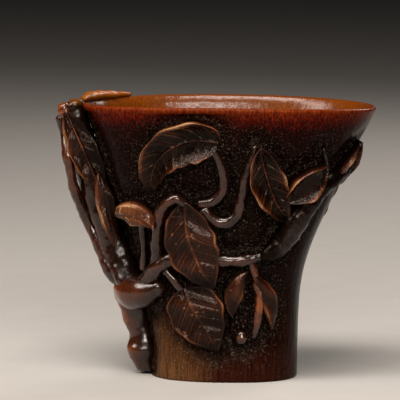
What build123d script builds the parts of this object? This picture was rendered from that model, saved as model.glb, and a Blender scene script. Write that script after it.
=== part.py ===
from build123d import *
import math
import os

# Vessel, in millimetres, standing on its flat foot with the handle on the left
CUP_HEIGHT = 90.0
FOOT_HALF_LENGTH = 24.2
FOOT_HALF_DEPTH = 20.7
RIM_REACH_RIGHT = 49.7
RIM_REACH_LEFT = 47.7
RIM_HALF_DEPTH = 33.9
WAIST_RIGHT = 36.4
WAIST_LEFT = 17.0
WAIST_DEPTH = 30.0
FLARE_BLEND = 6.0
RIM_DIP = 1.1
LIP_THICKNESS = 2.4
LIP_ROUNDING = 0.5
BOWL_WALL = 6.0
BOWL_FLOOR = 24.0
BOWL_ROUNDING = 26.0
SQUARENESS = 2.4

# Radii of the carved wood, from the trunk of the handle to the thinnest twig
TRUNK_RADIUS = 3.9
TRUNK_REACH = 5.0
KNOT_RADIUS = 5.7
LIMB_RADIUS = 3.6
LIMB_REACH = 5.0
HANDLE_BUD_RADIUS = 2.4
OUTER_TWIG_RADIUS = 2.0
FORK_RADIUS = 2.7
ARCH_RADIUS = 1.9
BRANCH_RADIUS = 1.9
STALK_RADIUS = 1.5
TWIG_RADIUS = 1.1
RIGHT_LIMB_RADIUS = 3.5
BACK_BRANCH_RADIUS = 2.6
RIM_LEAF_RADIUS = 2.0
RIM_LEAF_HEIGHT = 1.6

# Leaves: length along the midrib, full width, and how far they stand out
HOOD_LEAF_LENGTH = 33.0
HOOD_LEAF_WIDTH = 13.5
UPRIGHT_LEAF_LENGTH = 27.0
UPRIGHT_LEAF_WIDTH = 10.8
CURLED_LEAF_LENGTH = 16.0
CURLED_LEAF_WIDTH = 7.4
CURLED_LEAF_RELIEF = 5.0
CENTRE_LEAF_LENGTH = 31.0
CENTRE_LEAF_WIDTH = 15.8
CENTRE_LEAF_RELIEF = 4.2
LOWER_LEAF_LENGTH = 23.0
LOWER_LEAF_WIDTH = 17.6
POD_LENGTH = 18.0
POD_WIDTH = 8.4
POD_RELIEF = 4.6
EDGE_LEAF_LENGTH = 17.5
EDGE_LEAF_WIDTH = 6.2
SIDE_LEAF_LENGTH = 30.0
SIDE_LEAF_WIDTH = 14.0
BACK_UPPER_LEAF_LENGTH = 33.0
BACK_UPPER_LEAF_WIDTH = 17.0
BACK_LOWER_LEAF_LENGTH = 32.0
BACK_LOWER_LEAF_WIDTH = 17.5
BACK_SIDE_LEAF_LENGTH = 30.0
BACK_SIDE_LEAF_WIDTH = 15.0
HANDLE_UPPER_LEAF_LENGTH = 31.0
HANDLE_UPPER_LEAF_WIDTH = 9.4
HANDLE_LOWER_LEAF_LENGTH = 24.0
HANDLE_LOWER_LEAF_WIDTH = 6.0
HANDLE_BACK_LEAF_LENGTH = 36.0
HANDLE_BACK_LEAF_WIDTH = 9.0
LEAF_RELIEF = 2.9
LEAF_ROOT = 2.6

# Blossom on the lower right of the front
LEFT_PETAL_LENGTH = 17.5
LEFT_PETAL_WIDTH = 5.4
RIGHT_PETAL_LENGTH = 22.5
RIGHT_PETAL_WIDTH = 5.0
RIB_RADIUS = 1.5
BLOSSOM_BUD_RADIUS = 2.0

# How closely the free forms are followed, as shares of a length
WALL_POINTS = 16
WALL_SEAM = 112.5
WALL_STATIONS = (0, 0.16, 0.32, 0.46, 0.6, 0.8, 1)
BOWL_STATIONS = (0, 0.1, 0.32, 0.6, 1)
BOWL_FLAT = 0.5
BUD_STATIONS = (-0.92, -0.55, 0, 0.55, 0.92)
LEAF_STATIONS = (0.025, 0.15, 0.35, 0.575, 0.775, 0.9, 0.975)
LEAF_EDGE = 0.92
LEAF_TIP_STAND = 0.4
PILLOW = (0.75, 0.85, 0.16)
DISH = (1.0, 0.75, -0.1)
WALK_STEPS = 40
FLANK_OFFSET = 0.6
PROBE = 0.05


def soft_ramp(height, start):
    """Zero well below the start, and rising one for one well above it."""
    return FLARE_BLEND * math.log1p(math.exp((height - start) / FLARE_BLEND))


def flared(height, foot, rim, waist):
    """Half size of the vessel at a height: upright at the foot, leaning out to the rim above the waist."""
    rise = soft_ramp(height, waist) - soft_ramp(0, waist)
    return foot + (rim - foot) * rise / (soft_ramp(CUP_HEIGHT, waist) - soft_ramp(0, waist))


def wall_point(angle, height, inset=0.0, share=1.0):
    """Point of the wall: angle 0 is the front and 90 the right; inset and share give the bowl inside it."""
    sine = math.sin(math.radians(angle))
    cosine = math.cos(math.radians(angle))
    if sine > 0:
        reach = flared(height, FOOT_HALF_LENGTH, RIM_REACH_RIGHT, WAIST_RIGHT)
    else:
        reach = flared(height, FOOT_HALF_LENGTH, RIM_REACH_LEFT, WAIST_LEFT)
    depth = flared(height, FOOT_HALF_DEPTH, RIM_HALF_DEPTH, WAIST_DEPTH)
    across = abs(sine / (reach - inset)) ** SQUARENESS
    along = abs(cosine / (depth - inset)) ** SQUARENESS
    radius = share * (across + along) ** (-1 / SQUARENESS)
    return Vector(radius * sine, -radius * cosine, height)


def wall_frame(angle, height):
    """Wall point, and the directions round the cup, up the wall and out of it."""
    around = wall_point(angle + PROBE, height) - wall_point(angle - PROBE, height)
    upward = wall_point(angle, height + PROBE) - wall_point(angle, height - PROBE)
    outward = around.cross(upward).normalized()
    around = around.normalized()
    return wall_point(angle, height), around, outward.cross(around), outward


def wall_place(point):
    """Angle and height of the wall beside a point."""
    return math.degrees(math.atan2(point.X, -point.Y)), point.Z


def oval(height, inset=0.0, share=1.0):
    """Closed outline of the vessel or its bowl at a height."""
    angles = [WALL_SEAM + 360 * i / WALL_POINTS for i in range(WALL_POINTS)]
    return Wire(Spline(*[wall_point(angle, height, inset, share) for angle in angles], periodic=True))


def vessel_form():
    """The vessel as one solid block, before it is hollowed."""
    top = CUP_HEIGHT + RIM_DIP
    return Part() + Solid.make_loft([oval(top * share) for share in WALL_STATIONS])


def bowl_form():
    """The hollow: a round bottom that opens to the lip, with the wall thinning upwards."""
    top = CUP_HEIGHT + RIM_DIP
    sections = []
    for share in BOWL_STATIONS:
        height = BOWL_FLOOR + (top - BOWL_FLOOR) * share
        rounding = math.sqrt(1 - (1 - min(1, (height - BOWL_FLOOR) / BOWL_ROUNDING)) ** 2)
        inset = BOWL_WALL + (LIP_THICKNESS - BOWL_WALL) * share
        sections.append(oval(height, inset, BOWL_FLAT + (1 - BOWL_FLAT) * rounding))
    return Part() + Solid.make_loft(sections)


def above_rim():
    """Block over the saddle curve of the rim, which dips towards both ends."""
    ends = RIM_REACH_RIGHT + RIM_REACH_LEFT
    low = CUP_HEIGHT - RIM_DIP * (ends / RIM_REACH_RIGHT) ** 2
    roof = CUP_HEIGHT + ends
    curve = ThreePointArc((-ends, low), (0, CUP_HEIGHT), (ends, low))
    box = Polyline((ends, low), (ends, roof), (-ends, roof), (-ends, low))
    return extrude(Plane.XZ * make_face([curve, box]), amount=2 * RIM_HALF_DEPTH, both=True)


def hollow_cup(vessel):
    """Hollow vessel with its saddle rim and rounded lip."""
    shell = vessel - bowl_form() - above_rim()
    lip = shell.edges().filter_by(lambda edge: edge.center().Z > CUP_HEIGHT - 2 * RIM_DIP)
    return fillet(lip, LIP_ROUNDING)


def steady_plane(centre, heading, outward):
    """Plane square to a path, turned so that its X axis points out of the wall."""
    heading = heading.normalized()
    return Plane(origin=centre, x_dir=outward - heading * outward.dot(heading), z_dir=heading)


def branch(radius, stations, reach=None):
    """Limb along the wall; a station is an angle, a level, a thickness and a stand-off in limb reaches."""
    depth = reach or radius
    centres = []
    outwards = []
    for angle, level, thickness, lift in stations:
        point, around, rise, outward = wall_frame(angle, level * CUP_HEIGHT)
        centres.append(point + outward * (lift * depth * thickness))
        outwards.append(outward)
    sections = []
    for i, centre in enumerate(centres):
        heading = centres[min(i + 1, len(centres) - 1)] - centres[max(i - 1, 0)]
        outline = Ellipse(depth * stations[i][2], radius * stations[i][2])
        sections.append(steady_plane(centre, heading, outwards[i]) * outline)
    return loft(sections)


def bud(radius, angle, level, lift):
    """Round bud seated on the wall, with its stand-off in radii."""
    point, around, rise, outward = wall_frame(angle, level * CUP_HEIGHT)
    centre = point + outward * (lift * radius)
    sections = []
    for share in BUD_STATIONS:
        outline = Circle(radius * math.sqrt(1 - share ** 2))
        sections.append(steady_plane(centre + rise * (share * radius), rise, outward) * outline)
    return loft(sections)


def leaf_half_width(share, width, widest):
    """Half width along a leaf: round at the base, widest at the given share and pointed at the tip."""
    bias = math.log(0.5) / math.log(widest)
    return width / 2 * math.sin(math.pi * share ** bias) ** 0.75


def leaf_section(centre, side, outward, half_width, width, relief, fall, cross):
    """Cross section of a leaf: two cheeks that meet in a fold along the midrib, on a root below the wall."""
    edge, fold, cheek = cross
    stand = relief * (LEAF_TIP_STAND + (1 - LEAF_TIP_STAND) * 2 * half_width / width)

    def at(across, height):
        return centre + side * (across * half_width) + outward * (height - fall * across ** 2)

    left = centre - side * half_width - outward * (LEAF_ROOT + fall)
    right = centre + side * half_width - outward * (LEAF_ROOT + fall)
    rim = LEAF_EDGE
    middle = stand * (edge + fold) / 2 + cheek * half_width
    return Wire([
        Line(left, at(-rim, stand * edge)),
        ThreePointArc(at(-rim, stand * edge), at(-rim / 2, middle), at(0, stand * fold)),
        ThreePointArc(at(0, stand * fold), at(rim / 2, middle), at(rim, stand * edge)),
        Line(at(rim, stand * edge), right),
        Line(right, left),
    ])


def wall_leaf(base, heading, bend, length, width, relief=None, widest=0.45, late=1.0, cross=PILLOW):
    """Leaf laid on the wall from a base angle and level; it turns by bend degrees, later where late is larger."""
    place = (base[0], base[1] * CUP_HEIGHT)
    sections = []
    for step in range(WALK_STEPS):
        share = step / WALK_STEPS
        point, around, rise, outward = wall_frame(*place)
        course = math.radians(heading + bend * share ** late)
        ahead = around * math.cos(course) + rise * math.sin(course)
        if share in LEAF_STATIONS:
            half_width = leaf_half_width(share, width, widest)
            side = ahead.cross(outward)
            edge = point + side * half_width
            fall = (edge - wall_point(*wall_place(edge))).dot(outward)
            stand = relief or LEAF_RELIEF
            sections.append(leaf_section(point, side, outward, half_width, width, stand, fall, cross))
        place = wall_place(point + ahead * (length / WALK_STEPS))
    return Part() + Solid.make_loft(sections)


def flank_leaf(facing, angle, level, out, length, width, widest=0.45):
    """Leaf hanging down a flank of the handle; facing is 1 for the front flank and -1 for the back."""
    height = level * CUP_HEIGHT
    sections = []
    for share in LEAF_STATIONS:
        point, around, rise, outward = wall_frame(angle, height - length * share)
        centre = point + outward * (LIMB_REACH * (out[0] + (out[1] - out[0]) * share))
        centre += around * (facing * LIMB_RADIUS * FLANK_OFFSET)
        half_width = leaf_half_width(share, width, widest)
        sections.append(leaf_section(centre, outward * facing, around * facing, half_width, width,
                                     LEAF_RELIEF, 0, PILLOW))
    return Part() + Solid.make_loft(sections)


def rim_leaf():
    """Leaf that folds over the rim beside the handle."""
    stations = ((-91, 0.35), (-97, 0.85), (-106, 1.1), (-117, 1), (-128, 0.5))
    centres = [wall_point(angle, CUP_HEIGHT, LIP_THICKNESS / 2) for angle, thickness in stations]
    sections = []
    for i, centre in enumerate(centres):
        heading = centres[min(i + 1, len(centres) - 1)] - centres[max(i - 1, 0)]
        outline = Ellipse(RIM_LEAF_HEIGHT * stations[i][1], RIM_LEAF_RADIUS * stations[i][1])
        sections.append(steady_plane(centre, heading, Vector(0, 0, 1)) * outline)
    return loft(sections)


def main_solid(shape):
    """The piece itself, without the offcuts that a neighbour leaves."""
    return max(shape.solids(), key=lambda solid: solid.volume)


vessel = vessel_form()
cup = hollow_cup(vessel)
pieces = {}


def carve(name, form, *beside, ground=vessel):
    """Cuts a form to sit face to face on its ground and beside the pieces named, and writes it."""
    piece = main_solid(form - ground)
    for neighbour in beside:
        piece = main_solid(piece - pieces[neighbour])
    pieces[name] = piece
    export_step(piece, f"parts/{name}.step")


os.makedirs("parts", exist_ok=True)
export_step(cup, "parts/cup_body.step")

# Handle: a knotted trunk that forks, with a flat limb up to the rim and leaves down its flanks
carve("handle_knot", branch(KNOT_RADIUS, (
    (-88, 0.33, 0.7, 0.6), (-80, 0.325, 1.0, 0.5), (-70, 0.318, 1.06, 0.45), (-61, 0.322, 0.9, 0.35),
    (-53, 0.335, 0.55, 0.2))))
carve("handle_trunk", branch(TRUNK_RADIUS, (
    (-84, 0.03, 0.75, 0.36), (-85, 0.09, 0.95, 0.38), (-86, 0.155, 0.82, 0.6), (-86, 0.215, 0.85, 0.75),
    (-84, 0.29, 1.0, 0.7), (-78, 0.34, 1.1, 0.5)), reach=TRUNK_REACH), "handle_knot")
carve("handle_limb", branch(LIMB_RADIUS, (
    (-74, 0.36, 1.0, 0.55), (-80, 0.43, 0.95, 0.75), (-83, 0.52, 0.92, 0.85), (-84, 0.65, 0.95, 0.85),
    (-84, 0.78, 0.95, 0.9), (-83, 0.9, 0.9, 0.85), (-83, 0.985, 0.7, 0.8)), reach=LIMB_REACH),
    "handle_knot", "handle_trunk")
carve("handle_outer_twig", branch(OUTER_TWIG_RADIUS, (
    (-78, 0.35, 1.3, 2.0), (-81, 0.41, 1.25, 3.0), (-85, 0.5, 1.1, 3.8), (-87, 0.58, 1.0, 4.8),
    (-85, 0.66, 0.95, 5.5), (-81, 0.75, 0.9, 6.0), (-80, 0.83, 0.85, 5.8), (-83, 0.9, 0.8, 5.25),
    (-84, 0.96, 0.75, 5.5))), "handle_knot", "handle_trunk", "handle_limb")
carve("handle_bud", bud(HANDLE_BUD_RADIUS, -82, 0.985, 2.6), "handle_limb", "handle_outer_twig")
carve("handle_upper_leaf", flank_leaf(
    1, -83, 0.985, (1.2, 0.5), HANDLE_UPPER_LEAF_LENGTH, HANDLE_UPPER_LEAF_WIDTH),
    "handle_limb", "handle_outer_twig", "handle_bud")
carve("handle_lower_leaf", flank_leaf(
    1, -81, 0.75, (0.45, 0.85), HANDLE_LOWER_LEAF_LENGTH, HANDLE_LOWER_LEAF_WIDTH),
    "handle_limb", "handle_outer_twig", "handle_upper_leaf")
carve("handle_back_leaf", flank_leaf(
    -1, -85, 0.96, (1.0, 0.8), HANDLE_BACK_LEAF_LENGTH, HANDLE_BACK_LEAF_WIDTH),
    "handle_limb", "handle_outer_twig", "handle_bud")
carve("rim_leaf", rim_leaf(), "handle_back_leaf", ground=cup)

# Leaves of the front, from the upper left round to the right
carve("hood_leaf", wall_leaf(
    (-5, 0.88), 165, 112, HOOD_LEAF_LENGTH, HOOD_LEAF_WIDTH, widest=0.33, late=1.1, cross=DISH))
carve("curled_leaf", wall_leaf((-66, 0.605), 35, -100, CURLED_LEAF_LENGTH, CURLED_LEAF_WIDTH, CURLED_LEAF_RELIEF))
carve("centre_leaf", wall_leaf(
    (-26, 0.665), -90, 34, CENTRE_LEAF_LENGTH, CENTRE_LEAF_WIDTH, CENTRE_LEAF_RELIEF))
carve("lower_leaf", wall_leaf((-32, 0.345), -66, 8, LOWER_LEAF_LENGTH, LOWER_LEAF_WIDTH, widest=0.35),
      "centre_leaf")
carve("upright_leaf", wall_leaf((19, 0.86), -82, 28, UPRIGHT_LEAF_LENGTH, UPRIGHT_LEAF_WIDTH, cross=DISH))
carve("right_limb", branch(RIGHT_LIMB_RADIUS, (
    (27, 0.466, 0.5, 0.6), (36, 0.495, 0.85, 0.5), (43, 0.56, 1.1, 0.4), (49, 0.64, 1.15, 0.3),
    (56, 0.705, 0.9, 0.3), (66, 0.755, 0.7, 0.4), (80, 0.79, 0.55, 0.4),
    (93, 0.81, 0.4, 0.4), (106, 0.815, 0.3, 0.4), (117, 0.8, 0.25, 0.4))), "upright_leaf")
carve("right_pod", wall_leaf((36, 0.67), 42, 0, POD_LENGTH, POD_WIDTH, POD_RELIEF, cross=DISH),
      "right_limb", "upright_leaf")
carve("edge_leaf", wall_leaf((64, 0.725), 52, 10, EDGE_LEAF_LENGTH, EDGE_LEAF_WIDTH), "right_limb")
carve("right_twig", branch(TWIG_RADIUS, (
    (59, 0.75, 0.8, 0.5), (55, 0.805, 0.65, 0.5), (52, 0.85, 0.5, 0.4))),
    "right_limb", "right_pod")

# Branches and stalks of the front
carve("fork_branch", branch(FORK_RADIUS, (
    (-62, 0.35, 1.05, 0.5), (-49, 0.417, 1.0, 0.6), (-39, 0.449, 0.9, 0.5), (-29, 0.455, 0.8, 0.3))),
    "handle_knot", "centre_leaf")
carve("arch_branch", branch(ARCH_RADIUS, (
    (-50, 0.425, 1.1, 0.6), (-47, 0.5, 1.0, 0.7), (-44, 0.575, 1.0, 0.8), (-39, 0.64, 1.05, 0.8),
    (-32, 0.672, 1.0, 0.8), (-25, 0.65, 0.8, 0.7))), "fork_branch", "centre_leaf", "curled_leaf")
carve("curled_leaf_twig", branch(TWIG_RADIUS, (
    (-61, 0.41, 1.2, 0.6), (-57, 0.49, 1.0, 0.6), (-54, 0.605, 1.0, 0.6))), "fork_branch", "curled_leaf")
carve("hood_stalk", branch(STALK_RADIUS, (
    (-9, 0.86, 0.8, 0.7), (-4, 0.805, 0.9, 0.7), (-2, 0.751, 1.0, 0.6), (-3, 0.7, 1.05, 0.6),
    (-9, 0.667, 1.1, 0.6), (-16, 0.656, 1.1, 0.5))), "hood_leaf", "centre_leaf")
carve("middle_branch", branch(BRANCH_RADIUS, (
    (-14, 0.63, 1.0, 0.5), (-8, 0.596, 1.05, 0.6), (1, 0.591, 1.0, 0.6), (7.5, 0.624, 0.95, 0.6),
    (10, 0.682, 0.85, 0.6), (12, 0.762, 0.75, 0.6), (16, 0.855, 0.6, 0.6))),
    "centre_leaf", "hood_stalk", "upright_leaf")
carve("lower_branch", branch(BRANCH_RADIUS, (
    (-10, 0.45, 0.9, 0.4), (2, 0.449, 1.0, 0.6), (14, 0.452, 1.0, 0.6), (30, 0.47, 0.8, 0.5))),
    "centre_leaf", "right_limb")
carve("lower_leaf_stalk", branch(STALK_RADIUS, (
    (-48, 0.42, 0.9, 0.6), (-42, 0.39, 0.9, 0.7), (-35, 0.34, 0.8, 0.6))), "fork_branch", "lower_leaf")

# Blossom under the lower branch
carve("left_petal", wall_leaf((18.5, 0.415), 224, 60, LEFT_PETAL_LENGTH, LEFT_PETAL_WIDTH, widest=0.5),
      "lower_branch", "lower_leaf", "centre_leaf")
carve("right_petal", wall_leaf((19.5, 0.415), -46, -48, RIGHT_PETAL_LENGTH, RIGHT_PETAL_WIDTH, widest=0.5),
      "lower_branch", "left_petal")
carve("blossom_rib", branch(RIB_RADIUS, (
    (20.5, 0.44, 0.8, 0.5), (25, 0.37, 1.0, 0.7), (28, 0.32, 1.05, 0.8), (27.5, 0.235, 1.0, 0.7),
    (25, 0.17, 0.6, 0.5))), "lower_branch", "left_petal", "right_petal")
carve("blossom_bud", bud(BLOSSOM_BUD_RADIUS, 14.5, 0.166, 0.4), "left_petal", "blossom_rib")

# Right side and back, carried on from the front in the same manner
carve("side_leaf", wall_leaf((117.5, 0.815), -74, -24, SIDE_LEAF_LENGTH, SIDE_LEAF_WIDTH), "right_limb")
carve("back_branch", branch(BACK_BRANCH_RADIUS, (
    (-96, 0.36, 1.1, 0.5), (-112, 0.42, 1.0, 0.5), (-130, 0.49, 0.95, 0.5), (-150, 0.53, 0.9, 0.5),
    (-168, 0.51, 0.8, 0.5))), "handle_knot", "handle_trunk")
carve("back_twig", branch(STALK_RADIUS, (
    (-156, 0.54, 1.1, 0.4), (-172, 0.6, 1.1, 0.5), (-190, 0.66, 1.0, 0.5), (-207, 0.69, 0.9, 0.5))),
    "back_branch")
carve("back_upper_leaf", wall_leaf((-150, 0.56), 78, 24, BACK_UPPER_LEAF_LENGTH, BACK_UPPER_LEAF_WIDTH),
      "back_branch")
carve("back_lower_leaf", wall_leaf((-168, 0.5), -96, 24, BACK_LOWER_LEAF_LENGTH, BACK_LOWER_LEAF_WIDTH),
      "back_branch")
carve("back_side_leaf", wall_leaf((150, 0.66), -78, 30, BACK_SIDE_LEAF_LENGTH, BACK_SIDE_LEAF_WIDTH),
      "back_twig", "back_lower_leaf")
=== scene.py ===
import math

import bpy
import numpy as np
from mathutils import Matrix, Vector
from mathutils.kdtree import KDTree


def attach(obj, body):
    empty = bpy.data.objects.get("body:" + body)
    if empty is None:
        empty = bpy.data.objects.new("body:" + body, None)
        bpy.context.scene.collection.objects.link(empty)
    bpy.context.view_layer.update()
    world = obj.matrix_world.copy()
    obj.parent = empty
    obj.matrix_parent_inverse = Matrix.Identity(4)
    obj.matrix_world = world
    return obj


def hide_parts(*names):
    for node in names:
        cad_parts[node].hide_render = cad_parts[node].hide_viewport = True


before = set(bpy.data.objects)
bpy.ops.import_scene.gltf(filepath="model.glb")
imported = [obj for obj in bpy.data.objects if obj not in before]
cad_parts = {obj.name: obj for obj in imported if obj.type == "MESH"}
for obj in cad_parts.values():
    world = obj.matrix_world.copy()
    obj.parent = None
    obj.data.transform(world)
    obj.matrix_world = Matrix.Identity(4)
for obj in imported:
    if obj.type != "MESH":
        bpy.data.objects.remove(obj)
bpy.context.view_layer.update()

# Sizes in millimetres, the same as the solids'; every finished mesh is in metres
MM = 0.001
CUP_HEIGHT = 90.0
FOOT_HALF_LENGTH = 24.2
FOOT_HALF_DEPTH = 20.7
RIM_REACH_RIGHT = 49.7
RIM_REACH_LEFT = 47.7
RIM_HALF_DEPTH = 33.9
WAIST_RIGHT = 36.4
WAIST_LEFT = 17.0
WAIST_DEPTH = 30.0
FLARE_BLEND = 6.0
RIM_DIP = 1.1
LIP_THICKNESS = 2.4
BOWL_WALL = 6.0
BOWL_FLOOR = 24.0
BOWL_ROUNDING = 26.0
BOWL_FLAT = 0.5
SQUARENESS = 2.4

# Radii of the carved wood
TRUNK_RADIUS = 3.9
TRUNK_REACH = 5.0
KNOT_RADIUS = 5.7
LIMB_RADIUS = 3.6
LIMB_REACH = 5.0
HANDLE_BUD_RADIUS = 2.4
OUTER_TWIG_RADIUS = 2.0
FORK_RADIUS = 2.7
ARCH_RADIUS = 1.9
BRANCH_RADIUS = 1.9
STALK_RADIUS = 1.5
TWIG_RADIUS = 1.1
RIGHT_LIMB_RADIUS = 3.5
BACK_BRANCH_RADIUS = 2.6
RIM_LEAF_RADIUS = 2.0
RIM_LEAF_FLATNESS = 0.8
RIB_RADIUS = 1.5
BLOSSOM_BUD_RADIUS = 2.0
BUD_STRETCH = 0.3
BUD_TAPER = 0.86
BUD_GNARL = 0.2
BUD_GNARL_SPACING = 3.0

# Dome at each end of a limb, from its tip inwards: how far out and how thick, as shares of the radius
DOME = np.array(((1.0, 0.12), (0.85, 0.55), (0.55, 0.86)))

# Seeds in the mouth of the blossom
SEED_RADIUS = 0.9
SEED_COUNT = 9
SEED_SPREAD = 2.6
SEED_PLACE = (12.0, 0.215)
SEED_FINENESS = 3
SEED_DRAW = 5
GOLDEN_TURN = math.pi * (3 - math.sqrt(5))

# Leaves
LEAF_ROOT = 3.0
ROOT_SHARE = 0.55
LEAF_TIP_STAND = 0.45
FLANK_OFFSET = 0.6
UNDERCUT = 0.9
VEIN_SLANT = 0.9
MIDRIB_FADE = 0.6
BORDER_FADE = 1.8
VEIN_FADE_RATE = 6.0
TIP_POWER = 5.0
LINE_MEAN = 0.6
LINE_SWING = 0.4
EDGE_WAVER = 0.035
EDGE_WAVES = 0.9
LEAF_ROWS = 110
LEAF_COLUMNS = 56

# Ring of points round a leaf: share across, step out at its edge, share of its height and share of its root
LEAF_TOP = np.array([(place, 0, 1, 0) for place in np.linspace(-1, 1, LEAF_COLUMNS)])
LEAF_EDGE = np.array((
    (1, 0.18, 0.8, 0), (1, 0.16, 0.5, 0), (1, -0.45, 0.22, 0), (1, -0.9, 0, 0), (1, -0.9, 0, 1)))
LEAF_RING = np.concatenate([LEAF_TOP, LEAF_EDGE, LEAF_EDGE[::-1] * (-1, -1, 1, 1)])

# Mesh fineness, the ground cut down round the carving and the painted shade in its hollows
WALL_START = 0.4
WALL_STEP = 0.6
WALL_TURNS = 440
LIP_STEPS = 11
BOWL_START = 0.98
BOWL_STEPS = 45
FOOT_RINGS = (0.0, 0.3, 0.6, 0.85, 0.96, 0.99)
BOWL_RINGS = (0.42, 0.28, 0.14, 0.0)
GROUND_DEPTH = 1.7
GROUND_REACH = 5.0
GROUND_BANK = 1.8
GROUND_SHADE = 0.92
CARVING_STAND = 0.3
FULL_STAND = 2.0
HIGH_PERCENT = 97
FAR_OFF = 99.0
PROBE = 0.05
MERGE_DISTANCE = 1e-6

# Sizes of the patterns in the horn and the paper
FIBRE_WIDTH = 0.5
FIBRE_LENGTH = 8.0
FIBRE_DEPTH = 0.05
FACET_WIDTH = 1.4
STAIN_WIDTH = 10.0
SPECK_WIDTH = 0.53
PAPER_FLECK = 17.0

# Where the colours of the horn change, in millimetres or as shares of the cup's height
BAND_RAG = 3.5
TAN_RIGHT = -2.0
TAN_LEFT = -14.0
TAN_TOP = 30.0
TAN_BOTTOM = 4.0
AMBER_FROM = 0.98
AMBER_TO = 1.01
HONEY_FROM = 0.25
HONEY_TO = 0.92

# How strongly the horn shows its grain, wax and polish
FULL_TONE = 1.7
GRAIN_SHARE = 0.65
SPECK_SPREAD = 0.3
SMOOTHER = 0.08
ROUGHER = 0.1
PARED_DEPTH = 0.08
HEWN_DEPTH = 0.9
BOWL_POLISH = 0.55
COAT_ROUGHNESS = 0.22
HORN_IOR = 1.54

# Camera fitted to the photograph, which is taken to be 400 pixels square
PHOTO_PIXELS = 400
MM_PER_PIXEL = 0.3284
CAMERA_DISTANCE = 1010.0
CAMERA_RISE = 5.85
CAMERA_ROLL = 0.64
CAMERA_TARGET = (-8.4, 0.0, 57.3)
SENSOR = 36.0
CLIP_END = 50.0
FLOOR_HALF = 8.0
LIGHT_TARGET = (0.0, 0.0, 0.05)

FLOAT = "NodeSocketFloat"
GEOMETRY = "NodeSocketGeometry"
MATERIAL = "NodeSocketMaterial"


def linear(code):
    """Linear colour of an sRGB hex value."""
    shares = [int(code[i:i + 2], 16) / 255 for i in (1, 3, 5)]
    return tuple(s / 12.92 if s <= 0.04045 else ((s + 0.055) / 1.055) ** 2.4 for s in shares) + (1.0,)


def put(tree, kind, inputs=None, stops=(), **settings):
    """Adds a node with its settings and colour stops; an input takes a node, a socket or a plain value."""
    node = tree.nodes.new(kind)
    for key, value in settings.items():
        setattr(node, key, value)
    if stops:
        ramp = node.color_ramp.elements
        for element, (share, tone) in zip(ramp, (stops[0], stops[-1])):
            element.position = share
            element.color = linear(tone)
        for share, tone in stops[1:-1]:
            ramp.new(share).color = linear(tone)
    for key, value in (inputs or {}).items():
        if isinstance(value, bpy.types.Node):
            value = next(socket for socket in value.outputs if socket.enabled)
        if isinstance(value, bpy.types.NodeSocket):
            tree.links.new(value, node.inputs[key])
        else:
            node.inputs[key].default_value = value
    return node


def new_tree(name, inputs, outputs):
    """Empty geometry tree with named inputs and outputs, and its input sockets."""
    tree = bpy.data.node_groups.new(name, "GeometryNodeTree")
    for label, kind, value in inputs:
        socket = tree.interface.new_socket(label, in_out="INPUT", socket_type=kind)
        if value is not None:
            socket.default_value = value
    for label, kind in outputs:
        tree.interface.new_socket(label, in_out="OUTPUT", socket_type=kind)
    return tree, put(tree, "NodeGroupInput").outputs


def in_metres(tree, geometry, metres):
    """Geometry made in millimetres, brought to metres."""
    spot = put(tree, "GeometryNodeInputPosition")
    place = put(tree, "ShaderNodeVectorMath", {0: spot, "Scale": metres}, operation="SCALE")
    return put(tree, "GeometryNodeSetPosition", {"Geometry": geometry, "Position": place})


def dress(tree, geometry, horn):
    """Ends a tree in plain geometry of the given horn."""
    plain = put(tree, "GeometryNodeRealizeInstances", {"Geometry": geometry})
    dressed = put(tree, "GeometryNodeSetMaterial", {"Geometry": plain, "Material": horn})
    put(tree, "NodeGroupOutput", {"Geometry": dressed})


def ramp_tree():
    """Soft ramp: nothing well below its start, and rising one for one well above it."""
    tree, given = new_tree("soft ramp", (
        ("Height", FLOAT, 0.0), ("Start", FLOAT, 0.0), ("Blend", FLOAT, FLARE_BLEND)), (("Rise", FLOAT),))
    past = put(tree, "ShaderNodeMath", {0: given["Height"], 1: given["Start"]}, operation="SUBTRACT")
    share = put(tree, "ShaderNodeMath", {0: past, 1: given["Blend"]}, operation="DIVIDE")
    power = put(tree, "ShaderNodeMath", {0: share}, operation="EXPONENT")
    more = put(tree, "ShaderNodeMath", {0: power, 1: 1.0}, operation="ADD")
    log = put(tree, "ShaderNodeMath", {0: more, 1: math.e}, operation="LOGARITHM")
    rise = put(tree, "ShaderNodeMath", {0: log, 1: given["Blend"]}, operation="MULTIPLY")
    put(tree, "NodeGroupOutput", {"Rise": rise})
    return tree


def flare_tree(ramp):
    """Half size of the vessel at a height: upright at the foot, leaning out to the rim above the waist."""
    tree, given = new_tree("flare", (
        ("Height", FLOAT, 0.0), ("Foot", FLOAT, 0.0), ("Rim", FLOAT, 0.0), ("Waist", FLOAT, 0.0),
        ("Cup height", FLOAT, CUP_HEIGHT)), (("Half size", FLOAT),))
    here, foot, rim = [
        put(tree, "GeometryNodeGroup", {"Height": height, "Start": given["Waist"]}, node_tree=ramp)
        for height in (given["Height"], 0.0, given["Cup height"])]
    size = put(tree, "ShaderNodeMapRange", {
        "Value": here, "From Min": foot, "From Max": rim, "To Min": given["Foot"], "To Max": given["Rim"]},
        clamp=False)
    put(tree, "NodeGroupOutput", {"Half size": size})
    return tree


VESSEL_SIZES = (
    ("Cup height", FLOAT, CUP_HEIGHT), ("Foot half length", FLOAT, FOOT_HALF_LENGTH),
    ("Foot half depth", FLOAT, FOOT_HALF_DEPTH), ("Rim reach right", FLOAT, RIM_REACH_RIGHT),
    ("Rim reach left", FLOAT, RIM_REACH_LEFT), ("Rim half depth", FLOAT, RIM_HALF_DEPTH),
    ("Waist right", FLOAT, WAIST_RIGHT), ("Waist left", FLOAT, WAIST_LEFT),
    ("Waist depth", FLOAT, WAIST_DEPTH), ("Squareness", FLOAT, SQUARENESS))


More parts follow.
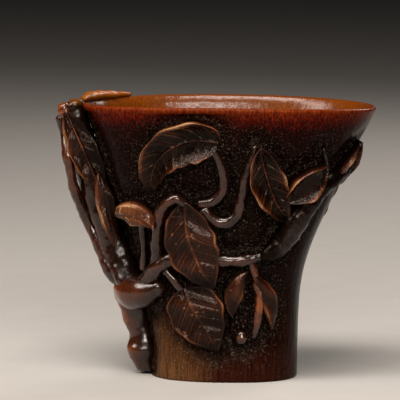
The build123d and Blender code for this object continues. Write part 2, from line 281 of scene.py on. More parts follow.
def wall_tree(flare):
    """Distance of the wall from the middle of the cup, for a direction, a height and an inset."""
    tree, given = new_tree("wall radius", (
        ("Sine", FLOAT, 0.0), ("Cosine", FLOAT, 0.0), ("Height", FLOAT, 0.0), ("Inset", FLOAT, 0.0))
        + VESSEL_SIZES, (("Radius", FLOAT),))
    halves = []
    for foot, rim, waist in (
            ("Foot half length", "Rim reach right", "Waist right"),
            ("Foot half length", "Rim reach left", "Waist left"),
            ("Foot half depth", "Rim half depth", "Waist depth")):
        half = put(tree, "GeometryNodeGroup", {
            "Height": given["Height"], "Foot": given[foot], "Rim": given[rim], "Waist": given[waist],
            "Cup height": given["Cup height"]}, node_tree=flare)
        halves.append(put(tree, "ShaderNodeMath", {0: half, 1: given["Inset"]}, operation="SUBTRACT"))
    on_right = put(tree, "ShaderNodeMath", {0: given["Sine"], 1: 0.0}, operation="GREATER_THAN")
    reach = put(tree, "ShaderNodeMix", {0: on_right, 2: halves[1], 3: halves[0]}, data_type="FLOAT")
    shares = []
    for direction, half in ((given["Sine"], reach), (given["Cosine"], halves[2])):
        size = put(tree, "ShaderNodeMath", {0: direction}, operation="ABSOLUTE")
        ratio = put(tree, "ShaderNodeMath", {0: size, 1: half}, operation="DIVIDE")
        shares.append(put(tree, "ShaderNodeMath", {0: ratio, 1: given["Squareness"]}, operation="POWER"))
    total = put(tree, "ShaderNodeMath", {0: shares[0], 1: shares[1]}, operation="ADD")
    root = put(tree, "ShaderNodeMath", {0: -1.0, 1: given["Squareness"]}, operation="DIVIDE")
    radius = put(tree, "ShaderNodeMath", {0: total, 1: root}, operation="POWER")
    put(tree, "NodeGroupOutput", {"Radius": radius})
    return tree


def vessel_tree():
    """Cup from rings of points that know their turn, level, inset, share and recess."""
    tree, given = new_tree("horn vessel", (("Geometry", GEOMETRY, None),) + VESSEL_SIZES + (
        ("Rim dip", FLOAT, RIM_DIP), ("Tool mark depth", FLOAT, 0.11), ("Tool mark width", FLOAT, 2.4),
        ("Tool mark slant", FLOAT, 0.3), ("Least cut", FLOAT, 0.55), ("Most cut", FLOAT, 1.45),
        ("Metres", FLOAT, MM), ("Horn", MATERIAL, None)), (("Geometry", GEOMETRY),))
    wall_radius = wall_tree(flare_tree(ramp_tree()))
    sizes = {label: given[label] for label, *_ in VESSEL_SIZES}
    turn, level, inset, share, recess = [
        put(tree, "GeometryNodeInputNamedAttribute", {"Name": name}, data_type="FLOAT")
        for name in ("turn", "level", "inset", "share", "recess")]

    # Rim that dips towards the ends of the oval
    sine = put(tree, "ShaderNodeMath", {0: turn}, operation="SINE")
    cosine = put(tree, "ShaderNodeMath", {0: turn}, operation="COSINE")
    top = put(tree, "GeometryNodeGroup", {
        "Sine": sine, "Cosine": cosine, "Height": given["Cup height"], **sizes}, node_tree=wall_radius)
    across = put(tree, "ShaderNodeMath", {0: top, 1: sine}, operation="MULTIPLY")
    end_share = put(tree, "ShaderNodeMath", {0: across, 1: given["Rim reach right"]}, operation="DIVIDE")
    squared = put(tree, "ShaderNodeMath", {0: end_share, 1: end_share}, operation="MULTIPLY")
    dip = put(tree, "ShaderNodeMath", {0: squared, 1: given["Rim dip"]}, operation="MULTIPLY")
    rim = put(tree, "ShaderNodeMath", {0: given["Cup height"], 1: dip}, operation="SUBTRACT")
    squeeze = put(tree, "ShaderNodeMath", {0: rim, 1: given["Cup height"]}, operation="DIVIDE")
    height = put(tree, "ShaderNodeMath", {0: level, 1: squeeze}, operation="MULTIPLY")

    # Wall and bowl
    full = put(tree, "GeometryNodeGroup", {
        "Sine": sine, "Cosine": cosine, "Height": height, "Inset": inset, **sizes}, node_tree=wall_radius)
    radius = put(tree, "ShaderNodeMath", {0: full, 1: share}, operation="MULTIPLY")
    right = put(tree, "ShaderNodeMath", {0: radius, 1: sine}, operation="MULTIPLY")
    front = put(tree, "ShaderNodeMath", {0: radius, 1: cosine}, operation="MULTIPLY")
    depth = put(tree, "ShaderNodeMath", {0: front, 1: -1.0}, operation="MULTIPLY")
    place = put(tree, "ShaderNodeCombineXYZ", {"X": right, "Y": depth, "Z": height})
    raised = put(tree, "GeometryNodeSetPosition", {"Geometry": given["Geometry"], "Position": place})

    # Long paring marks, and chisel marks where the ground is cut down
    spacing = put(tree, "ShaderNodeMath", {0: 1.0, 1: given["Tool mark width"]}, operation="DIVIDE")
    slant = put(tree, "ShaderNodeCombineXYZ", {"X": 1.0, "Y": 1.0, "Z": given["Tool mark slant"]})
    long = put(tree, "ShaderNodeVectorMath", {0: place, 1: slant}, operation="MULTIPLY")
    marks = put(tree, "ShaderNodeTexNoise", {"Vector": long, "Scale": spacing, "Detail": 1.5})
    swing = put(tree, "ShaderNodeMapRange", {"Value": marks, "To Min": -1.0, "To Max": 1.0})
    pared = put(tree, "ShaderNodeMath", {0: swing, 1: given["Tool mark depth"]}, operation="MULTIPLY")
    chisel = put(tree, "ShaderNodeTexNoise", {"Vector": place, "Scale": spacing, "Detail": 2.5})
    rough = put(tree, "ShaderNodeMapRange", {
        "Value": chisel, "To Min": given["Least cut"], "To Max": given["Most cut"]})
    hewn = put(tree, "ShaderNodeMath", {0: recess, 1: rough}, operation="MULTIPLY")
    cut = put(tree, "ShaderNodeMath", {0: pared, 1: hewn}, operation="SUBTRACT")
    normal = put(tree, "GeometryNodeInputNormal")
    shift = put(tree, "ShaderNodeVectorMath", {0: normal, "Scale": cut}, operation="SCALE")
    carved = put(tree, "GeometryNodeSetPosition", {"Geometry": raised, "Offset": shift})
    sized = in_metres(tree, carved, given["Metres"])
    closed = put(tree, "GeometryNodeMergeByDistance", {"Geometry": sized, "Distance": MERGE_DISTANCE})
    dress(tree, closed, given["Horn"])
    return tree


def limb_tree():
    """Limb round a path whose points know their thickness and which way is out of the wall."""
    tree, given = new_tree("carved limb", (
        ("Geometry", GEOMETRY, None), ("Sides", "NodeSocketInt", 30), ("Step", FLOAT, 0.45 * MM),
        ("Flatness", FLOAT, 1.0), ("Gnarl depth", FLOAT, 0.4 * MM), ("Gnarl spacing", FLOAT, 4 * MM),
        ("Gnarl swing", FLOAT, 1.6), ("Horn", MATERIAL, None)), (("Geometry", GEOMETRY),))
    outward = put(tree, "GeometryNodeInputNamedAttribute", {"Name": "outward"}, data_type="FLOAT_VECTOR")
    thickness = put(tree, "GeometryNodeInputNamedAttribute", {"Name": "thickness"}, data_type="FLOAT")
    path = put(tree, "GeometryNodeMeshToCurve", {"Mesh": given["Geometry"]})
    curved = put(tree, "GeometryNodeCurveSplineType", {"Curve": path}, spline_type="CATMULL_ROM")
    even = put(tree, "GeometryNodeResampleCurve", {"Curve": curved, "Length": given["Step"]}, mode="LENGTH")
    turned = put(tree, "GeometryNodeSetCurveNormal", {"Curve": even, "Normal": outward}, mode="FREE")
    sized = put(tree, "GeometryNodeSetCurveRadius", {"Curve": turned, "Radius": thickness})
    circle = put(tree, "GeometryNodeCurvePrimitiveCircle", {"Resolution": given["Sides"], "Radius": 1.0})
    stretch = put(tree, "ShaderNodeCombineXYZ", {"X": given["Flatness"], "Y": 1.0, "Z": 1.0})
    outline = put(tree, "GeometryNodeTransform", {"Geometry": circle, "Scale": stretch})
    tube = put(tree, "GeometryNodeCurveToMesh", {
        "Curve": sized, "Profile Curve": outline, "Scale": thickness, "Fill Caps": True})
    spacing = put(tree, "ShaderNodeMath", {0: 1.0, 1: given["Gnarl spacing"]}, operation="DIVIDE")
    spot = put(tree, "GeometryNodeInputPosition")
    lumps = put(tree, "ShaderNodeTexNoise", {"Vector": spot, "Scale": spacing, "Detail": 2.0})
    least = put(tree, "ShaderNodeMath", {0: given["Gnarl swing"], 1: -1.0}, operation="MULTIPLY")
    swing = put(tree, "ShaderNodeMapRange", {
        "Value": lumps, "To Min": least, "To Max": given["Gnarl swing"]})
    amount = put(tree, "ShaderNodeMath", {0: swing, 1: given["Gnarl depth"]}, operation="MULTIPLY")
    normal = put(tree, "GeometryNodeInputNormal")
    shift = put(tree, "ShaderNodeVectorMath", {0: normal, "Scale": amount}, operation="SCALE")
    gnarled = put(tree, "GeometryNodeSetPosition", {"Geometry": tube, "Offset": shift})
    closed = put(tree, "GeometryNodeMergeByDistance", {"Geometry": gnarled, "Distance": MERGE_DISTANCE})
    dress(tree, closed, given["Horn"])
    return tree


def bell_tree():
    """Bell curve: one at its centre, falling to nothing a few widths away."""
    tree, given = new_tree("bell", (
        ("Distance", FLOAT, 0.0), ("Centre", FLOAT, 0.0), ("Width", FLOAT, 1.0)), (("Bell", FLOAT),))
    past = put(tree, "ShaderNodeMath", {0: given["Distance"], 1: given["Centre"]}, operation="SUBTRACT")
    share = put(tree, "ShaderNodeMath", {0: past, 1: given["Width"]}, operation="DIVIDE")
    square = put(tree, "ShaderNodeMath", {0: share, 1: share}, operation="MULTIPLY")
    fall = put(tree, "ShaderNodeMath", {0: square, 1: -1.0}, operation="MULTIPLY")
    bell = put(tree, "ShaderNodeMath", {0: fall}, operation="EXPONENT")
    put(tree, "NodeGroupOutput", {"Bell": bell})
    return tree


LEAF_SIZES = (
    ("Length", FLOAT, 30.0), ("Relief", FLOAT, 2.9), ("Crown", FLOAT, 0.0), ("Rim", FLOAT, 0.5),
    ("Border", FLOAT, 1.0), ("Right roll", FLOAT, 0.0), ("Left roll", FLOAT, 0.0), ("Midrib", FLOAT, -0.5),
    ("Midrib width", FLOAT, 0.42), ("Midrib end", FLOAT, 0.875), ("Vein", FLOAT, 0.3),
    ("Vein width", FLOAT, 0.27), ("Vein slant", FLOAT, VEIN_SLANT), ("Spacing", FLOAT, 3.2),
    ("Quilt", FLOAT, 0.0), ("Tip", FLOAT, 0.0), ("Sway", FLOAT, 0.5), ("Sway start", FLOAT, 0.0),
    ("Sway along", FLOAT, 0.45), ("Sway across", FLOAT, 2.1), ("Wear and highlight inset", FLOAT, 0.45),
    ("Wear and highlight width", FLOAT, 0.3), ("Wear and highlight edge", FLOAT, 0.42), ("Wear and highlight vein", FLOAT, 1.2),
    ("Wear and highlight rib", FLOAT, 0.8), ("Wear and highlight border", FLOAT, 0.1))


def leaf_tree():
    """Carved leaf from a flat one whose points know their place on it, with pale lines of wear and painted
    highlight.
    """
    tree, given = new_tree("carved leaf", (("Geometry", GEOMETRY, None),) + LEAF_SIZES + (
        ("Metres", FLOAT, MM), ("Horn", MATERIAL, None)), (("Geometry", GEOMETRY),))
    bell = bell_tree()
    share, across, away, inset, fullness, fade, lift, sink = [
        put(tree, "GeometryNodeInputNamedAttribute", {"Name": name}, data_type="FLOAT")
        for name in ("share", "across", "away", "inset", "fullness", "fade", "lift", "sink")]
    outward = put(tree, "GeometryNodeInputNamedAttribute", {"Name": "outward"}, data_type="FLOAT_VECTOR")
    along = put(tree, "ShaderNodeMath", {0: share, 1: given["Length"]}, operation="MULTIPLY")

    # Body, from its crown to its rolled edges and raised border
    square = put(tree, "ShaderNodeMath", {0: across, 1: across}, operation="MULTIPLY")
    arch = put(tree, "ShaderNodeMath", {0: 1.0, 1: square}, operation="SUBTRACT")
    crown = put(tree, "ShaderNodeMath", {0: arch, 1: given["Crown"]}, operation="MULTIPLY")
    border = put(tree, "GeometryNodeGroup", {"Distance": inset, "Width": given["Border"]}, node_tree=bell)
    rim = put(tree, "ShaderNodeMath", {0: border, 1: given["Rim"]}, operation="MULTIPLY")
    on_right = put(tree, "ShaderNodeMath", {0: across, 1: 0.0}, operation="GREATER_THAN")
    roll = put(tree, "ShaderNodeMix", {
        0: on_right, 2: given["Left roll"], 3: given["Right roll"]}, data_type="FLOAT")
    rolled = put(tree, "ShaderNodeMath", {0: square, 1: roll}, operation="MULTIPLY")
    turn = put(tree, "ShaderNodeMath", {
        0: along, 1: given["Sway along"], 2: given["Sway start"]}, operation="MULTIPLY_ADD")
    phase = put(tree, "ShaderNodeMath", {
        0: across, 1: given["Sway across"], 2: turn}, operation="MULTIPLY_ADD")
    wave = put(tree, "ShaderNodeMath", {0: phase}, operation="SINE")
    swayed = put(tree, "ShaderNodeMath", {0: wave, 1: given["Sway"]}, operation="MULTIPLY")
    body = given["Relief"]
    for addition in (crown, rim, rolled, swayed):
        body = put(tree, "ShaderNodeMath", {0: body, 1: addition}, operation="ADD")
    body = put(tree, "ShaderNodeMath", {0: body, 1: fullness}, operation="MULTIPLY")

    # Side veins, slanting to the tip, with the leaf quilted between them
    lag = put(tree, "ShaderNodeMath", {0: away, 1: given["Vein slant"]}, operation="MULTIPLY")
    rank = put(tree, "ShaderNodeMath", {0: along, 1: lag}, operation="SUBTRACT")
    order = put(tree, "ShaderNodeMath", {0: rank, 1: given["Spacing"]}, operation="DIVIDE")
    nearest = put(tree, "ShaderNodeMath", {0: order, 1: 0.5}, operation="PINGPONG")
    lean = math.cos(math.atan(VEIN_SLANT))
    apart = put(tree, "ShaderNodeMath", {0: given["Spacing"], 1: lean}, operation="MULTIPLY")
    from_vein = put(tree, "ShaderNodeMath", {0: nearest, 1: apart}, operation="MULTIPLY")
    groove = put(tree, "GeometryNodeGroup", {
        "Distance": from_vein, "Width": given["Vein width"]}, node_tree=bell)
    cut = put(tree, "ShaderNodeMath", {0: groove, 1: given["Vein"]}, operation="MULTIPLY")
    half_turn = put(tree, "ShaderNodeMath", {0: order, 1: math.pi}, operation="MULTIPLY")
    between = put(tree, "ShaderNodeMath", {0: half_turn}, operation="SINE")
    swell = put(tree, "ShaderNodeMath", {0: between, 1: between}, operation="MULTIPLY")
    quilt = put(tree, "ShaderNodeMath", {0: swell, 1: given["Quilt"]}, operation="MULTIPLY")
    ribbed = put(tree, "ShaderNodeMath", {0: quilt, 1: cut}, operation="SUBTRACT")
    veined = put(tree, "ShaderNodeMath", {0: ribbed, 1: fade}, operation="MULTIPLY")

    # Midrib, which ends short of the tip, and the tip's own lift
    ridge = put(tree, "GeometryNodeGroup", {
        "Distance": away, "Width": given["Midrib width"]}, node_tree=bell)
    midrib = put(tree, "ShaderNodeMapRange", {
        "Value": share, "From Min": 1.0, "From Max": given["Midrib end"], "To Max": given["Midrib"]})
    stem = put(tree, "ShaderNodeMath", {0: ridge, 1: midrib}, operation="MULTIPLY")
    late = put(tree, "ShaderNodeMath", {0: share, 1: TIP_POWER}, operation="POWER")
    tip = put(tree, "ShaderNodeMath", {0: late, 1: given["Tip"]}, operation="MULTIPLY")
    height = body
    for addition in (veined, stem, tip):
        height = put(tree, "ShaderNodeMath", {0: height, 1: addition}, operation="ADD")
    stood = put(tree, "ShaderNodeMath", {0: height, 1: lift}, operation="MULTIPLY")
    seated = put(tree, "ShaderNodeMath", {0: stood, 1: sink}, operation="SUBTRACT")
    shift = put(tree, "ShaderNodeVectorMath", {0: outward, "Scale": seated}, operation="SCALE")
    carved = put(tree, "GeometryNodeSetPosition", {"Geometry": given["Geometry"], "Offset": shift})

    # Pale lines along the border, beside the veins and on the midrib: partly rubbed wear, partly painted
    # highlight
    edge, flank = [
        put(tree, "GeometryNodeGroup", {
            "Distance": distance, "Centre": given["Wear and highlight inset"], "Width": given["Wear and highlight width"]},
            node_tree=bell)
        for distance in (inset, from_vein)]
    uneven = put(tree, "ShaderNodeMath", {0: wave, 1: LINE_SWING, 2: LINE_MEAN}, operation="MULTIPLY_ADD")
    broken = put(tree, "ShaderNodeMath", {0: edge, 1: uneven}, operation="MULTIPLY")
    rubbed = put(tree, "ShaderNodeMath", {0: broken, 1: given["Wear and highlight edge"]}, operation="MULTIPLY")
    line = put(tree, "ShaderNodeMath", {0: flank, 1: fade}, operation="MULTIPLY")
    deep = put(tree, "ShaderNodeMath", {0: given["Vein"], 1: given["Wear and highlight vein"]}, operation="MULTIPLY")
    lined = put(tree, "ShaderNodeMath", {0: line, 1: deep}, operation="MULTIPLY")
    high = put(tree, "ShaderNodeMath", {0: stem, 1: 0.0}, operation="MAXIMUM")
    topped = put(tree, "ShaderNodeMath", {0: high, 1: given["Wear and highlight rib"]}, operation="MULTIPLY")
    inner = put(tree, "ShaderNodeMath", {0: border, 1: 1.0}, operation="SUBTRACT")
    wear_and_highlight = put(tree, "ShaderNodeMath", {0: inner, 1: given["Wear and highlight border"]}, operation="MULTIPLY")
    for addition in (rubbed, lined, topped):
        wear_and_highlight = put(tree, "ShaderNodeMath", {0: wear_and_highlight, 1: addition}, operation="ADD")
    leaf_wear_and_highlight = put(tree, "GeometryNodeStoreNamedAttribute", {
        "Geometry": carved, "Name": "wear_and_highlight", "Value": wear_and_highlight}, data_type="FLOAT", domain="POINT")
    dress(tree, in_metres(tree, leaf_wear_and_highlight, given["Metres"]), given["Horn"])
    return tree


def seed_tree():
    """Seeds of uneven size, one on each point of a patch of wall."""
    tree, given = new_tree("blossom seeds", (
        ("Geometry", GEOMETRY, None), ("Seed radius", FLOAT, SEED_RADIUS * MM), ("Smallest", FLOAT, 0.6),
        ("Horn", MATERIAL, None)), (("Geometry", GEOMETRY),))
    ball = put(tree, "GeometryNodeMeshIcoSphere", {
        "Radius": given["Seed radius"], "Subdivisions": SEED_FINENESS})
    size = put(tree, "FunctionNodeRandomValue", {
        "Min": given["Smallest"], "Max": 1.0, "Seed": SEED_DRAW}, data_type="FLOAT")
    seeds = put(tree, "GeometryNodeInstanceOnPoints", {
        "Points": given["Geometry"], "Instance": ball, "Scale": size})
    dress(tree, seeds, given["Horn"])
    return tree


def new_material(name):
    """Empty material, its tree and its object coordinates."""
    material = bpy.data.materials.new(name)
    material.use_nodes = True
    material.node_tree.nodes.clear()
    return material, material.node_tree, put(material.node_tree, "ShaderNodeTexCoord").outputs["Object"]


def new_horn(name):
    """Empty material with the fibres of horn, which run up the cup."""
    material, tree, coord = new_material(name)
    thin, long = 1 / (FIBRE_WIDTH * MM), 1 / (FIBRE_LENGTH * MM)
    stretch = put(tree, "ShaderNodeMapping", {"Vector": coord, "Scale": (thin, thin, long)})
    fibres = put(tree, "ShaderNodeTexNoise", {
        "Vector": stretch, "Scale": 1.0, "Detail": 3.0, "Roughness": 0.6})
    return material, tree, coord, fibres


def wax(tree, coord, fibres, colour, roughness, facet_depth, shine, polish):
    """Hand-rubbed wax over the colour, with the fibres and the tool's facets just felt in it."""
    gloss = put(tree, "ShaderNodeMapRange", {
        "Value": fibres, "To Min": roughness - SMOOTHER, "To Max": roughness + ROUGHER})
    facets = put(tree, "ShaderNodeTexNoise", {
        "Vector": coord, "Scale": 1 / (FACET_WIDTH * MM), "Detail": 3.0, "Roughness": 0.55})
    pared = put(tree, "ShaderNodeBump", {"Height": facets, "Strength": 1.0, "Distance": facet_depth})
    bump = put(tree, "ShaderNodeBump", {
        "Height": fibres, "Strength": 0.6, "Distance": FIBRE_DEPTH * MM, "Normal": pared})
    shader = put(tree, "ShaderNodeBsdfPrincipled", {
        "Base Color": colour, "Roughness": gloss, "Normal": bump, "IOR": HORN_IOR,
        "Specular IOR Level": shine, "Specular Tint": linear("#f6dcc6"), "Coat Weight": polish,
        "Coat Roughness": COAT_ROUGHNESS, "Coat Normal": bump})
    put(tree, "ShaderNodeOutputMaterial", {"Surface": shader})


def carved_horn(name, roughness, facet, shine, gloss, lip_share, tones):
    """Carved and waxed horn, toned by how far it stands out and by pale edges and lines, partly rubbed wear
    and partly painted highlight.
    """
    material, tree, coord, fibres = new_horn(name)

    # Stain gathers in clouds and streaks; edges and lines are lightened, partly as wear and partly as
    # painted highlight
    clouds = put(tree, "ShaderNodeTexNoise", {
        "Vector": coord, "Scale": 1 / (STAIN_WIDTH * MM), "Detail": 3.0})
    uneven = put(tree, "ShaderNodeMapRange", {"Value": clouds, "To Min": -0.4, "To Max": 0.4})
    streak = put(tree, "ShaderNodeMapRange", {"Value": fibres, "To Min": -0.25, "To Max": 0.25})
    relief = put(tree, "ShaderNodeAttribute", attribute_name="relief").outputs["Fac"]
    wear_and_highlight = put(tree, "ShaderNodeAttribute", attribute_name="wear_and_highlight").outputs["Fac"]
    ridge = put(tree, "ShaderNodeNewGeometry").outputs["Pointiness"]
    edge_wear_and_sheen = put(tree, "ShaderNodeMapRange", {
        "Value": ridge, "From Min": 0.5, "From Max": 0.58, "To Max": 0.45})
    light = relief
    for addition in (wear_and_highlight, uneven, streak, edge_wear_and_sheen):
        light = put(tree, "ShaderNodeMath", {0: light, 1: addition}, operation="ADD")
    place = put(tree, "ShaderNodeMapRange", {"Value": light, "From Max": FULL_TONE})
    toned = put(tree, "ShaderNodeValToRGB", {"Fac": place}, stops=tones)

    # Horn turns amber where it is thin at the lip
    height = put(tree, "ShaderNodeSeparateXYZ", {"Vector": coord}).outputs["Z"]
    lip = put(tree, "ShaderNodeMapRange", {
        "Value": height, "From Min": AMBER_FROM * CUP_HEIGHT * MM,
        "From Max": AMBER_TO * CUP_HEIGHT * MM, "To Max": lip_share})
    colour = put(tree, "ShaderNodeMix", {0: lip, 6: toned, 7: linear("#7c420b")}, data_type="RGBA")

    # Handling polishes the places that it rubs
    polish = put(tree, "ShaderNodeMapRange", {
        "Value": place, "From Min": 0.15, "From Max": 0.6, "To Max": gloss})
    wax(tree, coord, fibres, colour, roughness, facet * MM, shine, polish)
    return material


def vessel_horn(name, roughness, shine):
    """Pared and waxed horn: a tan foot, a near black red wall, an amber lip and a honey bowl."""
    material, tree, coord, fibres = new_horn(name)

    # Bands of colour up the wall, with ragged edges, and a tan patch at the left of the foot
    sides = put(tree, "ShaderNodeSeparateXYZ", {"Vector": coord}).outputs
    ragged = put(tree, "ShaderNodeMapRange", {
        "Value": fibres, "To Min": -BAND_RAG * MM, "To Max": BAND_RAG * MM})
    height = put(tree, "ShaderNodeMath", {0: sides["Z"], 1: ragged}, operation="ADD")
    level = put(tree, "ShaderNodeMapRange", {"Value": height, "From Max": CUP_HEIGHT * MM})
    bands = put(tree, "ShaderNodeValToRGB", {"Fac": level}, stops=(
        (0.0, "#250b05"), (0.16, "#170502"), (0.36, "#0c0201"), (0.84, "#0c0101"), (0.92, "#160101"),
        (0.96, "#400701"), (0.985, "#571903"), (1.0, "#5c2508")))
    tan_side = put(tree, "ShaderNodeMapRange", {
        "Value": sides["X"], "From Min": TAN_RIGHT * MM, "From Max": TAN_LEFT * MM})
    tan_low = put(tree, "ShaderNodeMapRange", {
        "Value": height, "From Min": TAN_TOP * MM, "From Max": TAN_BOTTOM * MM})
    tan_share = put(tree, "ShaderNodeMath", {0: tan_side, 1: tan_low}, operation="MULTIPLY")
    footed = put(tree, "ShaderNodeMix", {0: tan_share, 6: bands, 7: linear("#4c2f19")}, data_type="RGBA")
    streaks = put(tree, "ShaderNodeMapRange", {"Value": fibres, "From Min": 0.3, "From Max": 0.7})
    grained = put(tree, "ShaderNodeMix", {
        0: GRAIN_SHARE, 6: footed, 7: streaks}, data_type="RGBA", blend_type="OVERLAY")

    # Painted shade makes the hollows between the leaves near black, with specks of pale wax left in them
    shade = put(tree, "ShaderNodeAttribute", attribute_name="shade").outputs["Fac"]
    painted_shade = put(tree, "ShaderNodeMix", {0: shade, 6: grained, 7: linear("#070302")}, data_type="RGBA")
    specks = put(tree, "ShaderNodeTexNoise", {
        "Vector": coord, "Scale": 1 / (SPECK_WIDTH * MM), "Detail": 2.0})
    settled = put(tree, "ShaderNodeMapRange", {
        "Value": specks, "From Min": 0.58, "From Max": 0.74, "To Max": 0.6})
    caught = put(tree, "ShaderNodeMath", {0: shade, 1: tan_share}, operation="ADD")
    spread = put(tree, "ShaderNodeMath", {0: caught, 1: SPECK_SPREAD}, operation="ADD", use_clamp=True)
    dust = put(tree, "ShaderNodeMath", {0: settled, 1: spread}, operation="MULTIPLY")
    dusted = put(tree, "ShaderNodeMix", {0: dust, 6: painted_shade, 7: linear("#6b5a4c")}, data_type="RGBA")

    # The bowl, where light comes through the thin horn
    inside = put(tree, "ShaderNodeAttribute", attribute_name="inside").outputs["Fac"]
    honey = put(tree, "ShaderNodeValToRGB", {"Fac": fibres}, stops=((0.2, "#401602"), (0.8, "#6c3606")))
    thin = put(tree, "ShaderNodeMapRange", {"Value": level, "From Min": HONEY_FROM, "From Max": HONEY_TO})
    bowl = put(tree, "ShaderNodeMix", {0: thin, 6: linear("#2b0c02"), 7: honey}, data_type="RGBA")
    colour = put(tree, "ShaderNodeMix", {0: inside, 6: dusted, 7: bowl}, data_type="RGBA")
    hewn = put(tree, "ShaderNodeMapRange", {
        "Value": shade, "To Min": PARED_DEPTH * MM, "To Max": HEWN_DEPTH * MM})
    polish = put(tree, "ShaderNodeMapRange", {"Value": inside, "To Max": BOWL_POLISH})
    wax(tree, coord, fibres, colour, roughness, hewn, shine, polish)
    return material


# Buffalo horn, pared and waxed: dark and deep outside with fine fibres, honey where it is thin
HORN_WALL = vessel_horn("horn_pared_and_waxed", roughness=0.27, shine=0.045)

# Buffalo horn, carved round and polished by handling: glossy red brown with amber on its bends
HORN_BRANCH = carved_horn(
    "horn_carved_branch", roughness=0.25, facet=0.05, shine=0.08, gloss=1.0, lip_share=0.5, tones=(
        (0.0, "#050201"), (0.35, "#100502"), (0.62, "#220b03"), (0.85, "#451c05"), (1.0, "#733811")))

# Buffalo horn, carved in facets and rubbed: black in its cuts and pale tan along its edges, partly worn and
# partly a painted highlight
HORN_LEAF = carved_horn(
    "horn_carved_leaf", roughness=0.25, facet=0.32, shine=0.1, gloss=0.2, lip_share=1.0, tones=(
        (0.0, "#040101"), (0.3, "#0b0301"), (0.5, "#1a0803"), (0.66, "#331608"), (0.84, "#5d341b"),
        (1.0, "#947050")))


def soft_ramp(height, start):
    """Nothing well below the start, and rising one for one well above it."""
    return FLARE_BLEND * np.logaddexp(0.0, (height - start) / FLARE_BLEND)


def flared(height, foot, rim, waist):
    """Half size of the vessel at a height."""
    rise = soft_ramp(height, waist) - soft_ramp(0.0, waist)
    return foot + (rim - foot) * rise / (soft_ramp(CUP_HEIGHT, waist) - soft_ramp(0.0, waist))


def wall(angle, height, inset=0.0):
    """Points of the wall in millimetres; angle 0 is the front and 90 the right."""
    sine = np.sin(np.radians(angle))
    cosine = np.cos(np.radians(angle))
    right = flared(height, FOOT_HALF_LENGTH, RIM_REACH_RIGHT, WAIST_RIGHT)
    left = flared(height, FOOT_HALF_LENGTH, RIM_REACH_LEFT, WAIST_LEFT)
    reach = np.where(sine > 0, right, left) - inset
    depth = flared(height, FOOT_HALF_DEPTH, RIM_HALF_DEPTH, WAIST_DEPTH) - inset
    total = np.abs(sine / reach) ** SQUARENESS + np.abs(cosine / depth) ** SQUARENESS
    radius = total ** (-1 / SQUARENESS)
    return np.stack([radius * sine, -radius * cosine, height + 0 * radius], -1)


def unit(vectors):
    """Vectors at length one."""
    return vectors / np.linalg.norm(vectors, axis=-1, keepdims=True)


def wall_frame(angle, height):
    """Wall points, and the directions round the cup, up the wall and out of it."""
    around = wall(angle + PROBE, height) - wall(angle - PROBE, height)
    upward = wall(angle, height + PROBE) - wall(angle, height - PROBE)
    outward = unit(np.cross(around, upward))
    around = unit(around)
    return wall(angle, height), around, np.cross(outward, around), outward


def place_of(points):
    """Angle and height of the wall beside points."""
    return np.degrees(np.arctan2(points[..., 0], -points[..., 1])), points[..., 2]


def stand_off(points):
    """How far points stand out of the wall, in millimetres."""
    base, *_, outward = wall_frame(*place_of(points))
    return np.sum((points - base) * outward, -1)


def vertices_mm(mesh):
    """Vertex places of a mesh in millimetres."""
    flat = np.empty(len(mesh.vertices) * 3)
    mesh.vertices.foreach_get("co", flat)
    return flat.reshape(-1, 3) / MM


def store(mesh, name, values, kind="FLOAT", field="value"):
    """Keeps one value for each vertex on a mesh."""
    layer = mesh.attributes.get(name) or mesh.attributes.new(name, kind, "POINT")
    layer.data.foreach_set(field, np.asarray(values, dtype=np.float32).ravel())


def settle(piece, material, *nodes, amber=0.0):
    """Gives a finished piece its horn, smooth faces and place in the frame; amber lightens its tone."""
    mesh = piece.data
    mesh.materials.clear()
    mesh.materials.append(material)
    mesh.polygons.foreach_set("use_smooth", [True] * len(mesh.polygons))
    relief = stand_off(vertices_mm(mesh))
    store(mesh, "relief", relief / max(np.percentile(relief, HIGH_PERCENT), FULL_STAND) + amber)
    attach(piece, "root")
    if nodes:
        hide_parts(*nodes)
    return piece


def new_object(name, mesh):
    """Object at the origin with its place in its mesh."""
    piece = bpy.data.objects.new(name, mesh)
    bpy.context.scene.collection.objects.link(piece)
    return piece


def grow(name, mesh, tree, inputs):
    """Object whose mesh a tree makes from a first mesh, turned to a plain mesh."""
    piece = new_object(name, mesh)
    modifier = piece.modifiers.new(tree.name, "NODES")
    modifier.node_group = tree
    for item in tree.interface.items_tree:
        if item.in_out == "INPUT" and item.name in inputs:
            modifier[item.identifier] = inputs[item.name]
    shape = bpy.data.meshes.new_from_object(piece.evaluated_get(bpy.context.evaluated_depsgraph_get()))
    piece.modifiers.clear()
    piece.data = shape
    return piece


def tube_faces(rows, columns):
    """Quads of a closed tube of rings, with one face over each end."""
    row, column = np.meshgrid(np.arange(rows - 1), np.arange(columns), indexing="ij")
    after = (column + 1) % columns
    first, second = row * columns, (row + 1) * columns
    quads = np.stack([first + column, first + after, second + after, second + column], -1)
    ends = [list(range(columns))[::-1], list(range((rows - 1) * columns, rows * columns))]
    return quads.reshape(-1, 4).tolist() + ends


def outward_facing(mesh):
    """Turns the faces of a closed mesh outwards."""
    points = vertices_mm(mesh)
    mesh.calc_loop_triangles()
    corners = np.array([triangle.vertices for triangle in mesh.loop_triangles])
    a, b, c = points[corners[:, 0]], points[corners[:, 1]], points[corners[:, 2]]
    if np.sum(np.cross(a, b) * c) < 0:
        mesh.flip_normals()


LIMB_TREE = limb_tree()
LEAF_TREE = leaf_tree()


def rounded_ends(centres, outward, radii):
    """Path of a limb with a dome added at each end."""
    far, thin = DOME.T
    first = centres[0] + np.outer(far, unit(centres[0] - centres[1])) * radii[0]
    last = centres[-1] + np.outer(far, unit(centres[-1] - centres[-2])) * radii[-1]
    path = np.concatenate([first, centres, last[::-1]])
    facing = np.pad(outward, ((len(far), len(far)), (0, 0)), mode="edge")
    return path, facing, np.concatenate([thin * radii[0], radii, thin[::-1] * radii[-1]])


